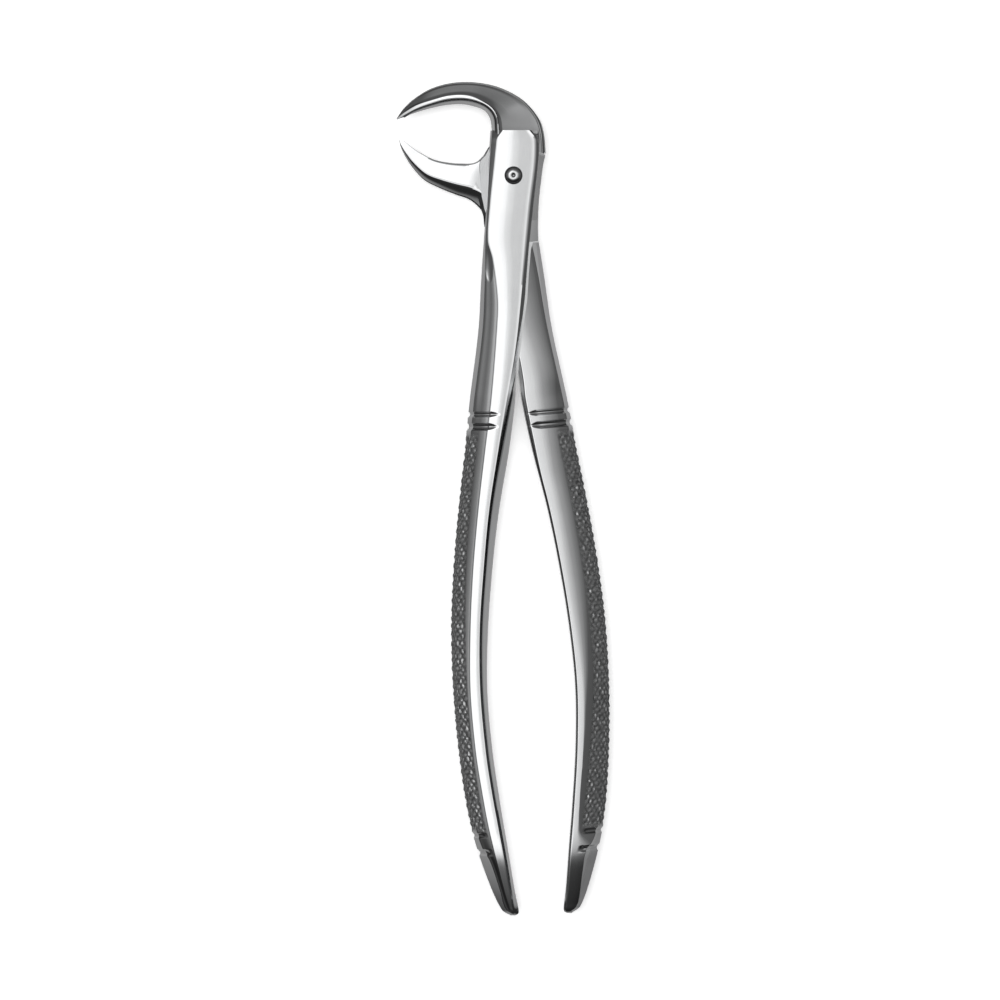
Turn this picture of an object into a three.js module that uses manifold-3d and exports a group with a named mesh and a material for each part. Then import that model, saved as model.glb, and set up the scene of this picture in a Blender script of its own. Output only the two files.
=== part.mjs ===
// Extraction forceps for lower molars, English pattern, with a riveted lap joint.
//
// Millimetres. The forceps lie on their back: +Z is the hinge axis, pointing away from
// the surface they lie on, +Y runs along the handles towards the joint and the beaks.
// The beaks point to -X. The origin is on the hinge axis at the level of that surface.
//
// Three pieces: the front half (left handle and upper beak), the back half (right handle
// and lower beak) that crosses behind it, and the joint pin riveted through both.

import * as THREE from "three";
import { mergeVertices } from "three/addons/utils/BufferGeometryUtils.js";
import Module from "manifold-3d";

const wasm = await Module();
wasm.setup();

// Driving dimensions.
const THICKNESS = 9.6; // both halves together, at the joint and along the handles
const MIDDLE = THICKNESS / 2;
const LAP_GAP = 0.3; // between the two lap faces
const PIN_RADIUS = 1.6;
const PIN_CLEARANCE = 0.05;
const PIN_HEAD_RADIUS = 1.85;
const PIN_HEAD_RIM = 0.35;
const PIN_HEAD_HEIGHT = 0.95;
const PIN_HEAD_GAP = 0.05; // between the head and the front plate's face
const ROOT_CLEAR_RADIUS = 8.2; // the front half is solid behind only outside this circle
const BACK_DISC_RADIUS = 7.8; // the back plate's top stays inside this one
const ROOT_CLEAR_FROM = 0.45; // radians from +X, and as many from -X, where that circle is met
const PLATE_TOP = 9.2; // where the front plate's flat face ends, above the hinge
const HANDLE_END = -150.9;
const PLATE_BEVEL = 0.8;
const GROOVES = [-48.7, -51.2, -134.7, -137.8]; // above and below the grip, two and two
const GROOVE_DEPTH = 0.4;
const GROOVE_HALF_WIDTH = 0.7;

// The handles are alike: the back half's arm is the front half's, turned over about this
// line, which lies in the middle plane and leans towards the back half's handle.
const FOLD_POINT = new THREE.Vector3(-1.1, 0, MIDDLE);
const FOLD_LEAN = THREE.MathUtils.degToRad(2.58);
const FOLD_AXIS = new THREE.Vector3(-Math.sin(FOLD_LEAN), Math.cos(FOLD_LEAN), 0);

// A smooth function through [y, value] pairs, highest y first.
function through(pairs) {
  const slope = (i) => {
    const before = pairs[Math.max(i - 1, 0)];
    const after = pairs[Math.min(i + 1, pairs.length - 1)];
    return (after[1] - before[1]) / (after[0] - before[0]);
  };
  return (y) => {
    let i = 0;
    while (i < pairs.length - 2 && y < pairs[i + 1][0]) i += 1;
    const [y0, v0] = pairs[i];
    const [y1, v1] = pairs[i + 1];
    const t = THREE.MathUtils.clamp((y - y0) / (y1 - y0), 0, 1);
    const step = y1 - y0;
    const h00 = 2 * t ** 3 - 3 * t ** 2 + 1;
    const h10 = t ** 3 - 2 * t ** 2 + t;
    const h01 = 3 * t ** 2 - 2 * t ** 3;
    const h11 = t ** 3 - t ** 2;
    return h00 * v0 + h10 * step * slope(i) + h01 * v1 + h11 * step * slope(i + 1);
  };
}

// The front half's arm, from the joint plate's top to the handle's end. Each edge is an x
// for a given y: the outer silhouette, the flat's two sides and the inner silhouette.
const outerEdge = through([
  [9.2, -4.7], [1.8, -5.2], [-5.9, -5.55], [-13.7, -6.1], [-21.2, -6.6], [-31.4, -7.16],
  [-45.7, -8.92], [-55.9, -10.0], [-68.2, -11.35], [-80.4, -12.35], [-92.7, -12.8],
  [-104.9, -12.4], [-117.2, -11.3], [-129.4, -9.5], [-137.6, -7.35], [-145.7, -4.4],
  [-149.8, -2.35], [-150.6, -1.2], [HANDLE_END, -0.3],
]);
const flatOuterEdge = through([
  [9.2, -2.2], [7.6, -3.3], [5.7, -3.6], [1.8, -4.0], [-5.9, -4.8], [-13.2, -5.2], [-17.1, -4.2],
  [-25.3, -3.2], [-31.4, -3.37], [-45.7, -4.5], [-55.9, -5.75], [-68.2, -7.15], [-80.4, -8.2],
  [-92.7, -8.76], [-104.9, -8.76], [-117.2, -7.7], [-125.3, -6.45], [-133.5, -4.9],
  [-145.7, -1.9], [-149.8, -0.6], [HANDLE_END, 0.0],
]);
const flatInnerEdge = through([
  [9.2, 3.2], [7.6, 4.4], [5.7, 4.6], [1.8, 4.4], [-5.9, 3.43], [-13.7, 2.65], [-21.2, 1.9],
  [-31.4, 0.88], [-37.6, 0.06], [-45.7, -1.37], [-55.9, -3.1], [-68.2, -4.98], [-80.4, -6.12],
  [-92.7, -6.9], [-104.9, -6.8], [-117.2, -5.7], [-125.3, -4.5], [-133.5, -3.0],
  [-145.7, -0.7], [-149.8, -0.1], [HANDLE_END, 0.1],
]);
const innerEdge = through([
  [9.2, 5.6], [1.8, 5.0], [-5.9, 4.14], [-13.7, 3.31], [-21.2, 2.7], [-25.3, 2.4], [-31.4, 1.59],
  [-37.6, 0.8], [-42.0, 0.45], [-45.7, 0.35], [-55.9, -0.9], [-68.2, -2.94], [-80.4, -4.33],
  [-92.7, -5.2], [-104.9, -5.35], [-117.2, -4.3], [-129.4, -2.5], [-137.6, -1.1],
  [-145.7, 0.24], [-149.8, 1.06], [-150.6, 0.95], [HANDLE_END, 0.4],
]);
const handleDepth = through([
  [-118, MIDDLE], [-134, 4.6], [-137, 4.45], [-139.5, 4.15], [-142.5, 3.5], [-146, 2.55],
  [-149, 1.6], [-150.5, 1.0], [HANDLE_END, 0.4],
]);
const halfThickness = (y) => Math.min(MIDDLE, handleDepth(y));
// How far down the rounding goes on each side of the flat, as a share of half the thickness.
const outerFall = through([[9.2, 0.17], [-14, 0.17], [-24, 0.95], [-150, 0.95]]);
const innerFall = through([[9.2, 0.17], [-42, 0.2], [-60, 0.6], [-150, 0.7]]);

// Depth of the transverse grooves at y, on the outer side only.
function grooveDepth(y) {
  let depth = 0;
  for (const groove of GROOVES) {
    const away = Math.abs(y - groove) / GROOVE_HALF_WIDTH;
    depth += GROOVE_DEPTH * Math.max(0, 1 - away);
  }
  return depth;
}

// Half an arm's section at y, of the given height, from the inner side over the flat to
// the outer.
function armSection(y, half) {
  const sink = grooveDepth(y);
  const outer = outerEdge(y) + sink;
  const inner = innerEdge(y);
  const flatOuter = flatOuterEdge(y);
  const flatInner = flatInnerEdge(y);
  const points = [[inner, 0]];
  const innerSteps = 3;
  for (let i = 0; i <= innerSteps; i += 1) {
    const angle = (i / innerSteps) * (Math.PI / 2);
    const fall = innerFall(y) * half;
    points.push([
      flatInner + (inner - flatInner) * Math.cos(angle),
      half - fall + fall * Math.sin(angle),
    ]);
  }
  const outerSteps = 5;
  for (let i = 0; i <= outerSteps; i += 1) {
    const angle = (i / outerSteps) * (Math.PI / 2);
    const fall = outerFall(y) * (half - sink);
    points.push([
      flatOuter + (outer - flatOuter) * Math.sin(angle),
      half - fall + fall * Math.cos(angle) - (i ? sink : 0) * Math.sin(angle),
    ]);
  }
  points.push([outer, 0]);
  return points;
}

// A closed ring from a section's upper half and its lower half, which is given upside down.
function ringOf(upper, under, place) {
  const lower = under.slice(1, -1).reverse();
  const ring = upper.map(([u, z]) => place(u, MIDDLE + z));
  return ring.concat(lower.map(([u, z]) => place(u, MIDDLE - z)));
}

function armStations() {
  const stations = [];
  for (let y = PLATE_TOP; y > 6; y -= 0.8) stations.push(y);
  for (let y = 6; y > -12; y -= 4) stations.push(y);
  for (let y = -12; y > -28; y -= 2) stations.push(y);
  for (let y = -28; y > -146; y -= 4) stations.push(y);
  for (const y of [-146.5, -148, -149.2, -150, -150.5]) stations.push(y);
  stations.push(HANDLE_END);
  for (const groove of GROOVES) {
    stations.push(groove - GROOVE_HALF_WIDTH, groove, groove + GROOVE_HALF_WIDTH);
  }
  const sorted = stations.sort((a, b) => b - a);
  return sorted.filter((y, i) => i === 0 || sorted[i - 1] - y > 0.25);
}

// A closed skin over rings of equally many points, with a fan at each end.
function loft(rings) {
  const count = rings[0].length;
  const positions = [];
  for (const ring of rings) for (const point of ring) positions.push(...point);
  const indices = [];
  for (let r = 0; r < rings.length - 1; r += 1) {
    for (let i = 0; i < count; i += 1) {
      const a = r * count + i;
      const b = r * count + ((i + 1) % count);
      indices.push(a, a + count, b, b, a + count, b + count);
    }
  }
  for (const [first, turn] of [[0, false], [(rings.length - 1) * count, true]]) {
    const centre = new THREE.Vector3();
    for (let i = 0; i < count; i += 1) {
      centre.add(new THREE.Vector3().fromArray(positions, (first + i) * 3));
    }
    centre.divideScalar(count);
    const hub = positions.length / 3;
    positions.push(centre.x, centre.y, centre.z);
    for (let i = 0; i < count; i += 1) {
      const a = first + i;
      const b = first + ((i + 1) % count);
      indices.push(...(turn ? [a, hub, b] : [a, b, hub]));
    }
  }
  const geometry = new THREE.BufferGeometry();
  geometry.setAttribute("position", new THREE.Float32BufferAttribute(positions, 3));
  geometry.setIndex(indices);
  return geometry;
}

function signedVolume(positions, indices) {
  let volume = 0;
  const corner = (i) => new THREE.Vector3().fromArray(positions, indices[i] * 3);
  for (let i = 0; i < indices.length; i += 3) {
    volume += corner(i).dot(corner(i + 1).cross(corner(i + 2))) / 6;
  }
  return volume;
}

// The geometry as a solid, turned inside out if its faces point inwards.
function solid(geometry) {
  const bare = geometry.clone();
  bare.deleteAttribute("normal");
  bare.deleteAttribute("uv");
  const merged = mergeVertices(bare, 1e-5);
  const positions = Float32Array.from(merged.attributes.position.array);
  const indices = Uint32Array.from(merged.index.array);
  if (signedVolume(positions, indices) < 0) {
    for (let i = 0; i < indices.length; i += 3) {
      [indices[i], indices[i + 1]] = [indices[i + 1], indices[i]];
    }
  }
  const mesh = new wasm.Mesh({ numProp: 3, vertProperties: positions, triVerts: indices });
  return new wasm.Manifold(mesh);
}

function geometryOf(body) {
  const mesh = body.getMesh();
  const geometry = new THREE.BufferGeometry();
  geometry.setAttribute("position", new THREE.Float32BufferAttribute(mesh.vertProperties, 3));
  geometry.setIndex(Array.from(mesh.triVerts));
  geometry.computeVertexNormals();
  return geometry;
}

// The arm down from the given y, as a closed skin.
function armGeometry(top) {
  const rings = [];
  for (const y of armStations().filter((station) => station <= top)) {
    const section = armSection(y, halfThickness(y));
    rings.push(ringOf(section, section, (x, z) => [x, y, z]));
  }
  return loft(rings);
}

// Turns a geometry over about the fold line, which makes the back half's arm.
function foldOver(geometry) {
  const turn = new THREE.Matrix4().makeRotationAxis(FOLD_AXIS, Math.PI);
  const there = new THREE.Matrix4().makeTranslation(FOLD_POINT.x, FOLD_POINT.y, FOLD_POINT.z);
  const back = there.clone().invert();
  return geometry.clone().applyMatrix4(there.multiply(turn).multiply(back));
}

// Half a beak's section: from the foot on the inner edge up to the crest, then out to the
// edge. Its first number is a share of the way from the inner edge to the outer one.
function beakSection(height, foot, edge, crest) {
  const steps = 4;
  const points = [];
  for (let i = 0; i <= steps; i += 1) {
    const angle = (i / steps) * (Math.PI / 2);
    points.push([crest[0] * (1 - Math.cos(angle)), foot + (height - foot) * Math.sin(angle)]);
  }
  for (let i = 0; i <= steps + 1; i += 1) {
    const angle = (i / (steps + 1)) * (Math.PI / 2);
    const share = crest[1] + (1 - crest[1]) * Math.sin(angle);
    points.push([share, edge + (height - edge) * Math.cos(angle)]);
  }
  return points;
}

// A beak between an inner and an outer edge, each a curve from the root to the tip. Each
// place along it has its heights before and behind the middle plane.
function beakGeometry({ inner, outer, heights, crest, edge, stations }) {
  const asCurve = (points) => new THREE.CatmullRomCurve3(
    points.map(([x, y]) => new THREE.Vector3(x, y, 0)), false, "catmullrom",
  );
  const innerCurve = asCurve(inner);
  const outerCurve = asCurve(outer);
  const heightCurve = asCurve(heights);
  const rings = [];
  for (let s = 0; s <= stations; s += 1) {
    const from = innerCurve.getPoint(s / stations);
    const to = outerCurve.getPoint(s / stations);
    const { x: front, y: back } = heightCurve.getPoint(s / stations);
    const foot = (front - back) / 2;
    const rim = foot - edge * back;
    const before = beakSection(front, foot, rim, crest);
    const behind = beakSection(back, -foot, -rim, crest);
    rings.push(ringOf(before, behind, (u, z) => [
      from.x + (to.x - from.x) * u,
      from.y + (to.y - from.y) * u,
      z,
    ]));
  }
  return loft(rings);
}

// The upper beak, a crescent that grows out of the front plate and curls over to -X.
const upperBeak = {
  inner: [
    [-4.49, 7.2], [-4.45, 9.4], [-4.8, 11.7], [-5.9, 13.3], [-8.1, 14.2], [-10.7, 14.65],
    [-13.8, 14.45], [-17.0, 13.8], [-19.9, 12.95], [-21.9, 12.2], [-23.75, 11.5],
  ],
  outer: [
    [6.55, 5.2], [6.2, 8.8], [5.0, 12.0], [1.9, 15.5], [-2.55, 17.95], [-7.25, 19.05],
    [-12.1, 19.05], [-16.4, 18.0], [-19.8, 16.1], [-22.3, 13.9], [-23.9, 11.7],
  ],
  heights: [
    [4.4, 4.4], [4.35, 4.35], [4.2, 4.2], [3.9, 3.9], [3.5, 3.5], [3.0, 3.0], [2.5, 2.5],
    [2.0, 2.0], [1.4, 1.4], [0.8, 0.8], [0.2, 0.2],
  ],
  crest: [0.18, 0.34],
  edge: 0,
  stations: 24,
};

// The lower beak, from the back plate's neck to its tip. Its front face grows out of the
// lap plane, so most of its depth is behind the middle.
const lowerBeak = {
  inner: [
    [-4.9, 6.1], [-6.3, 4.0], [-8.1, 2.75], [-10.5, 2.6], [-13.4, 2.8], [-16.2, 3.4],
    [-18.7, 4.6], [-20.6, 5.8], [-22.2, 7.05], [-23.2, 7.6],
  ],
  outer: [
    [-5.0, -9.0], [-6.9, -6.5], [-9.0, -4.75], [-11.9, -3.7], [-15.0, -2.45], [-18.2, -0.8],
    [-20.7, 1.85], [-22.15, 4.1], [-23.0, 5.9], [-23.4, 7.4],
  ],
  heights: [
    [-0.1, 4.6], [-0.08, 4.6], [0.0, 4.5], [0.15, 4.0], [0.25, 3.4], [0.3, 2.8], [0.3, 2.3],
    [0.3, 1.7], [0.25, 1.0], [0.15, 0.25],
  ],
  crest: [0.08, 0.7],
  edge: 0.1,
  stations: 22,
};

// The back half's joint plate: a disc around the pin, with the neck of the beak to the
// left and the arm's top below. Its two edges, again an x for a given y.
const DISC_LEFT_END = 5.9;
const DISC_RIGHT_END = 4.3;
const plateLeftEdge = through([
  [DISC_LEFT_END, -5.1], [4.1, -6.2], [2.9, -7.3], [0, -7.5], [-4, -7.3], [-5.5, -6.95],
  [-6.6, -6.7], [-8, -6.2], [-10.3, -5.9], [-13.4, -4.6], [-17, -3.2],
]);
const plateRightEdge = through([
  [DISC_RIGHT_END, 6.5], [2.5, 6.1], [0, 5.75], [-5, 5.2], [-10, 5.0], [-14, 5.05], [-17, 4.6],
]);

function backPlateGeometry() {
  const stations = [];
  const steps = 7;
  for (let i = 0; i < steps; i += 1) {
    const angle = ((i + 0.3) / steps) * (Math.PI / 2);
    stations.push(BACK_DISC_RADIUS - (BACK_DISC_RADIUS - DISC_RIGHT_END) * (1 - Math.cos(angle)));
  }
  for (const y of [DISC_RIGHT_END, 3.4, 2.5, 0, -4, -6, -7, -8, -9.3, -10.6, -12, -13.4, -15, -17]) {
    stations.push(y);
  }
  const rings = stations.map((y) => {
    const reach = Math.sqrt(Math.max(BACK_DISC_RADIUS ** 2 - y ** 2, 0.01));
    const left = y > DISC_LEFT_END ? -reach : plateLeftEdge(y);
    const right = y > DISC_RIGHT_END ? reach : plateRightEdge(y);
    const bevel = Math.min(PLATE_BEVEL, (right - left) / 4);
    const upper = [
      [right, 0], [right, MIDDLE - bevel], [right - bevel, MIDDLE],
      [left + bevel, MIDDLE], [left, MIDDLE - bevel], [left, 0],
    ];
    return ringOf(upper, upper, (x, z) => [x, y, z]);
  });
  return loft(rings);
}

// A closed prism over a shape between two heights.
function prism(shape, bottom, top) {
  const options = { depth: top - bottom, bevelEnabled: false, curveSegments: 24 };
  return new THREE.ExtrudeGeometry(shape, options).translate(0, 0, bottom);
}

// The line where a half's shank grows to full thickness beside the other half's plate:
// [x, y] points on the back half, from its outer side down to the crotch. The front half's
// own line is given folded over, and its upper end keeps clear of the back plate's neck.
const BACK_SHOULDER = [
  [9, -13.2], [4.1, -13.7], [3.68, -15.2], [3.25, -20], [2.95, -25.3], [2.02, -31.4],
  [1.2, -37.5], [0.95, -42],
];
const FRONT_SHOULDER = [
  [9, -13.2], [5.4, -13.9], [4.1, -15.4], [3.45, -20], [2.95, -25.3], [2.02, -31.4],
  [1.2, -37.5], [0.95, -42],
];

// What the front half gives way to: everything behind the middle plane, inside the root's
// circle and above the shoulder.
function frontLapCut() {
  const shape = new THREE.Shape();
  const left = Math.PI - ROOT_CLEAR_FROM;
  shape.absarc(0, 0, ROOT_CLEAR_RADIUS, ROOT_CLEAR_FROM, left, false);
  shape.lineTo(-16, 6);
  const mirrored = FRONT_SHOULDER.map(([x, y]) => foldPoint(x, y));
  shape.lineTo(-16, mirrored[0].y);
  for (const point of mirrored) shape.lineTo(point.x, point.y);
  shape.lineTo(3, -43);
  shape.lineTo(16, -20);
  shape.lineTo(16, 3);
  return prism(shape, -1, MIDDLE + LAP_GAP / 2);
}

function foldPoint(x, y) {
  const point = new THREE.Vector3(x, y, MIDDLE).sub(FOLD_POINT);
  return point.applyAxisAngle(FOLD_AXIS, Math.PI).add(FOLD_POINT);
}

// What the back half gives way to: everything before the middle plane, from the beak's
// shoulder on the left to the shank's on the right.
function backLapCut() {
  const shape = new THREE.Shape();
  shape.moveTo(-5.6, 12);
  shape.lineTo(-5.6, 3.2);
  shape.lineTo(-10.2, -6.6);
  shape.lineTo(-10.2, -16);
  shape.lineTo(-3, -43);
  for (const [x, y] of [...BACK_SHOULDER].reverse()) shape.lineTo(x, y);
  shape.lineTo(12, -13);
  shape.lineTo(12, 12);
  return prism(shape, MIDDLE - LAP_GAP / 2, THICKNESS + 1);
}

function pinBore() {
  const bore = new THREE.CylinderGeometry(
    PIN_RADIUS + PIN_CLEARANCE, PIN_RADIUS + PIN_CLEARANCE, THICKNESS + 2, 48,
  );
  bore.rotateX(Math.PI / 2).translate(0, 0, MIDDLE);
  return bore;
}

function frontHalf() {
  const whole = solid(armGeometry(PLATE_TOP)).add(solid(beakGeometry(upperBeak)));
  return geometryOf(whole.subtract(solid(frontLapCut())).subtract(solid(pinBore())));
}

function backHalf() {
  const arm = solid(foldOver(armGeometry(-12)));
  const plate = solid(backPlateGeometry());
  const whole = arm.add(plate).add(solid(beakGeometry(lowerBeak)));
  return geometryOf(whole.subtract(solid(backLapCut())).subtract(solid(pinBore())));
}

// The rivet: a straight shank, flush behind, and a low domed head in front.
function jointPin() {
  const rim = THICKNESS + PIN_HEAD_GAP;
  const corners = [[0, 0], [PIN_RADIUS, 0], [PIN_RADIUS, rim], [PIN_HEAD_RADIUS, rim]];
  const outline = corners.map(([radius, z]) => new THREE.Vector2(radius, z));
  const steps = 5;
  for (let i = 0; i <= steps; i += 1) {
    const angle = (i / steps) * (Math.PI / 2);
    outline.push(new THREE.Vector2(
      PIN_HEAD_RADIUS * Math.cos(angle),
      rim + PIN_HEAD_RIM + (PIN_HEAD_HEIGHT - PIN_HEAD_RIM) * Math.sin(angle),
    ));
  }
  outline[outline.length - 1].x = 0;
  return geometryOf(solid(new THREE.LatheGeometry(outline, 48).rotateX(Math.PI / 2)));
}

function piece(name, geometry, color, roughness) {
  const material = new THREE.MeshStandardMaterial({ color, roughness, metalness: 1 });
  const mesh = new THREE.Mesh(geometry, material);
  mesh.name = name;
  return mesh;
}

const forceps = new THREE.Group();
forceps.add(piece("front_half", frontHalf(), 0xc9cbce, 0.16));
forceps.add(piece("back_half", backHalf(), 0xc3c5c8, 0.16));
forceps.add(piece("joint_pin", jointPin(), 0xb4b6ba, 0.2));

export default forceps;
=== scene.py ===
# Extraction forceps: the two forged halves and their joint pin, polished steel.
# Lengths in the shape code are millimetres in the CAD's frame; meshes are made in metres.
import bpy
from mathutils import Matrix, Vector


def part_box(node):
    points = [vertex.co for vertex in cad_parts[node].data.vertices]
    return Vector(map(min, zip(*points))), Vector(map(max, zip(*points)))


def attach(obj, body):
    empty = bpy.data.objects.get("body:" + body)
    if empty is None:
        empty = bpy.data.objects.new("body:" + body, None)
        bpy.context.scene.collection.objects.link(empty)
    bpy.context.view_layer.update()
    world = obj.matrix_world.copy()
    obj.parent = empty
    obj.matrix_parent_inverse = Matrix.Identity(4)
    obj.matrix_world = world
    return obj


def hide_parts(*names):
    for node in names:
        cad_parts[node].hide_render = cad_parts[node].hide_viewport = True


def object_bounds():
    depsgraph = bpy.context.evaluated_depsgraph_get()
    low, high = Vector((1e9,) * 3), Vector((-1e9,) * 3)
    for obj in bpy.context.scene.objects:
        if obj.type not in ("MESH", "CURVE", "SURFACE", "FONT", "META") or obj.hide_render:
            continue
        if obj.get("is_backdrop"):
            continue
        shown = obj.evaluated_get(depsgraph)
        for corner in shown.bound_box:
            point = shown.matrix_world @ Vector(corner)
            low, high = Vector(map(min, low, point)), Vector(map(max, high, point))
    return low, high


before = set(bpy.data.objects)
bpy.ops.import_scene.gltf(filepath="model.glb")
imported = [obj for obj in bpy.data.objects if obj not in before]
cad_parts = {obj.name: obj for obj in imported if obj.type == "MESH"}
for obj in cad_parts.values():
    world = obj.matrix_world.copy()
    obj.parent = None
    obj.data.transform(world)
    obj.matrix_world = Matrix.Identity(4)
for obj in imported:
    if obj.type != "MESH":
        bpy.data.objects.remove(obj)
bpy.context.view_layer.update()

import math

import bmesh
import bpy
import numpy as np
from mathutils import Matrix, Vector

MM = 0.001
front_low, front_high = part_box("front_half")
pin_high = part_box("joint_pin")[1]
THICKNESS = front_high[2] / MM
MIDDLE = THICKNESS / 2
PIN_HEAD_RADIUS = pin_high[0] / MM
HANDLE_END = front_low[1] / MM

LAP_GAP = 0.16
PIN_RADIUS = 1.6
BORE_RADIUS = 1.65
ROOT_CLEAR_RADIUS = 7.98
BACK_DISC_RADIUS = 7.8
PLATE_TOP = 9.2
# Where the back half's arm starts, and where its plate ends inside the arm.
ARM_TOP = -13.6
PLATE_END = -17.01
GRIP_TOP = -52.4
GRIP_END = -134.0
KNURL_LENGTH = 1.75
KNURL_WIDTH = 1.15
KNURL_DEPTH = 0.19
# Each groove's place along the handle, its depth and its half width.
RIBS = [(-48.7, 0.4, 0.6), (-51.2, 0.45, 0.75)]
BEAD_GROOVES = [(-134.5, 0.3, 0.6), (-138.0, 0.4, 0.75)]
# The raised ring between the lower grooves.
BEAD = -136.2
BEAD_HALF_LENGTH = 1.3
BEAD_RISE = 0.22
# The thumb scoop's middle and shape.
SCOOP = (-5.1, -18.0)
SCOOP_LENGTH = 3.7
SCOOP_WIDTH = 0.8
SCOOP_SLANT = 0.25
SCOOP_DEPTH = 0.11
# The line in the middle plane about which one half is the other turned over.
FOLD_X = -1.1
FOLD_LEAN = math.radians(2.58)


# --- Curves and sections -------------------------------------------------------------

def through(pairs):
    """A smooth function of y through [y, value] pairs, highest y first."""
    ys = np.array([p[0] for p in pairs], float)
    values = np.array([p[1] for p in pairs], float)
    before = np.clip(np.arange(len(ys)) - 1, 0, None)
    after = np.clip(np.arange(len(ys)) + 1, None, len(ys) - 1)
    slopes = (values[after] - values[before]) / (ys[after] - ys[before])

    def at(y):
        i = int(np.clip(np.searchsorted(-ys, -y, side="right") - 1, 0, len(ys) - 2))
        step = ys[i + 1] - ys[i]
        t = min(max((y - ys[i]) / step, 0.0), 1.0)
        h00 = 2 * t**3 - 3 * t**2 + 1
        h10 = t**3 - 2 * t**2 + t
        h01 = 3 * t**2 - 2 * t**3
        h11 = t**3 - t**2
        return (h00 * values[i] + h10 * step * slopes[i]
                + h01 * values[i + 1] + h11 * step * slopes[i + 1])
    return at


outer_edge = through([
    (9.2, -4.7), (1.8, -5.2), (-5.9, -5.55), (-13.7, -6.1), (-21.2, -6.6), (-31.4, -7.16),
    (-45.7, -8.92), (-55.9, -10.0), (-68.2, -11.35), (-80.4, -12.35), (-92.7, -12.8),
    (-104.9, -12.4), (-117.2, -11.3), (-129.4, -9.5), (-137.6, -7.35), (-145.7, -4.4),
    (-149.8, -2.35), (-150.6, -1.2), (HANDLE_END, -0.3),
])
flat_outer_edge = through([
    (9.2, -2.2), (7.6, -3.3), (5.7, -3.6), (1.8, -4.0), (-5.9, -4.8), (-13.2, -5.2),
    (-17.1, -4.2), (-25.3, -3.2), (-31.4, -3.37), (-45.7, -4.5), (-55.9, -5.75), (-68.2, -7.15),
    (-80.4, -8.2), (-92.7, -8.76), (-104.9, -8.76), (-117.2, -7.7), (-125.3, -6.45),
    (-133.5, -4.9), (-145.7, -1.9), (-149.8, -0.6), (HANDLE_END, 0.0),
])
flat_inner_edge = through([
    (9.2, 3.2), (7.6, 4.4), (5.7, 4.6), (1.8, 4.4), (-5.9, 3.43), (-13.7, 2.65), (-21.2, 1.9),
    (-31.4, 0.88), (-37.6, 0.06), (-45.7, -1.37), (-55.9, -3.1), (-68.2, -4.98), (-80.4, -6.12),
    (-92.7, -6.9), (-104.9, -6.8), (-117.2, -5.7), (-125.3, -4.5), (-133.5, -3.0),
    (-145.7, -0.7), (-149.8, -0.1), (HANDLE_END, 0.1),
])
inner_edge = through([
    (9.2, 5.6), (1.8, 5.0), (-5.9, 4.14), (-13.7, 3.31), (-21.2, 2.7), (-25.3, 2.4), (-31.4, 1.59),
    (-37.6, 0.8), (-42.0, 0.45), (-45.7, 0.35), (-55.9, -0.9), (-68.2, -2.94), (-80.4, -4.33),
    (-92.7, -5.2), (-104.9, -5.35), (-117.2, -4.3), (-129.4, -2.5), (-137.6, -1.1),
    (-145.7, 0.24), (-149.8, 1.06), (-150.6, 0.95), (HANDLE_END, 0.4),
])
handle_depth = through([
    (-118, MIDDLE), (-134, 4.6), (-137, 4.45), (-139.5, 4.15), (-142.5, 3.5), (-146, 2.55),
    (-149, 1.6), (-150.5, 1.0), (HANDLE_END, 0.4),
])
inner_bevel = through([(9.2, 0.4), (4, 0.6), (-8, 0.9), (-50, 0.9), (-60, 0.75), (-70, 0.68),
                       (-134, 0.6), (-150, 0.3)])
inner_bevel_slope = through([(9.2, 0.8), (-30, 0.85), (-44, 1.1), (-58, 1.15), (-150, 1.15)])
outer_draft = through([(9.2, 0.45), (-12, 0.45), (-22, 0.9), (-60, 1.0), (-130, 0.9), (-137, 1.2),
                       (-140, 1.9), (-146, 1.6), (-149, 0.9)])
back_draft = through([(9.2, 1.6), (-13.6, 1.6), (-17, 1.4), (-25, 1.15), (-35, 0.95), (-130, 0.9),
                      (-136, 1.5), (-139, 2.6), (-142, 2.3), (-145, 1.8), (-149, 0.9)])

# Where the front's flat starts to lean outward, as a share of its width.
lean_share = through([(9.2, 0.62), (-13, 0.62), (-25, 0.6), (-45, 0.45), (-64, 0.36), (-134, 0.36),
                      (-150, 0.5)])
# On the back, how far from the crest the surface has tilted 9, 15 and 27 degrees.
back_round = through([(-12, 1.1), (-40, 1.1), (-54, 0.95), (-64, 0.6), (-150, 0.5)])
back_tilt_9 = through([(-12, 0.8), (-24, 0.9), (-33, 1.2), (-42, 1.9), (-64, 1.4), (-86.5, 0.7),
                       (-100, 0.95),
                       (-111, 1.1), (-134, 1.0), (-139, 1.4), (-150, 1.0)])
back_tilt_15 = through([(-12, 2.0), (-24, 2.3), (-33, 2.9), (-42, 3.5), (-64, 2.5), (-86.5, 2.0),
                        (-100, 1.6),
                        (-111, 1.22), (-134, 1.12), (-139, 3.0), (-150, 2.0)])
back_tilt_27 = through([(-12, 6.2), (-24, 6.3), (-33, 6.2), (-42, 6.3), (-64, 4.6), (-86.5, 3.7),
                        (-100, 2.5), (-111, 1.5), (-134, 1.35), (-139, 5.0), (-150, 3.0)])


# Tilts across the front's flank at the plate, above the grip and in the grip.
FLANK_SHARES = (0, 0.04, 0.07, 0.22, 0.5, 0.8, 1)
FLANK_TILTS = (
    (30, 30, 28, 29, 30, 32, 36),
    (28, 28, 19, 20, 28, 23, 34),
    (32, 31, 20, 23, 30, 37, 42),
)


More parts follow.
